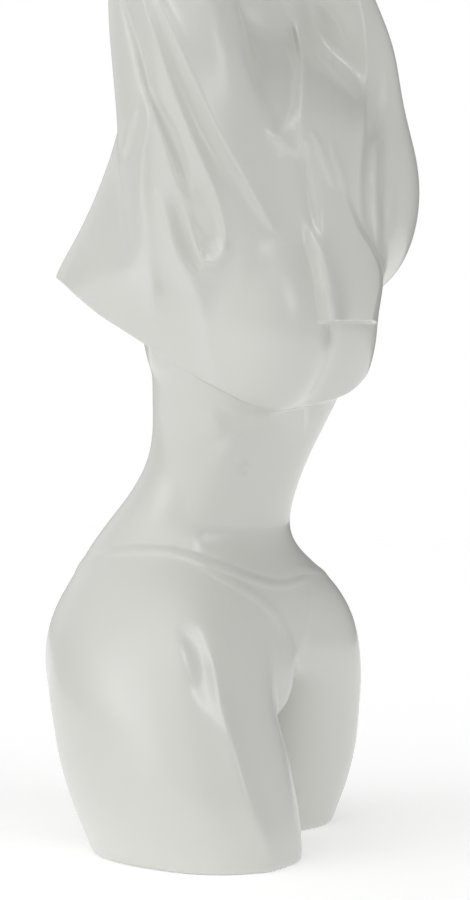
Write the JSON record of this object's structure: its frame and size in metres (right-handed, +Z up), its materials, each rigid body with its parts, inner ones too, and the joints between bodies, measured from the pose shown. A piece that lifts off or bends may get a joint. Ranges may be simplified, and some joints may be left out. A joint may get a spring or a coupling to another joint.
{
  "type": "female torso sculpture",
  "caption": "Gloss off-white torso of a woman with raised arms in a short loose top, bare midriff and low brief, cut off at mid-thigh, cast in one piece.",
  "frame": {"origin": "on the floor, under the middle of the figure's bounding box", "axes": "+Z up, the figure faces -Y, +X is to its left"},
  "size_m": [0.3994, 0.3127, 0.9994],
  "materials": {
    "lacquer": "off-white gloss lacquer over the cast shell"
  },
  "bodies": {
    "root": {"figure": "lacquer"}
  },
  "joints": []
}
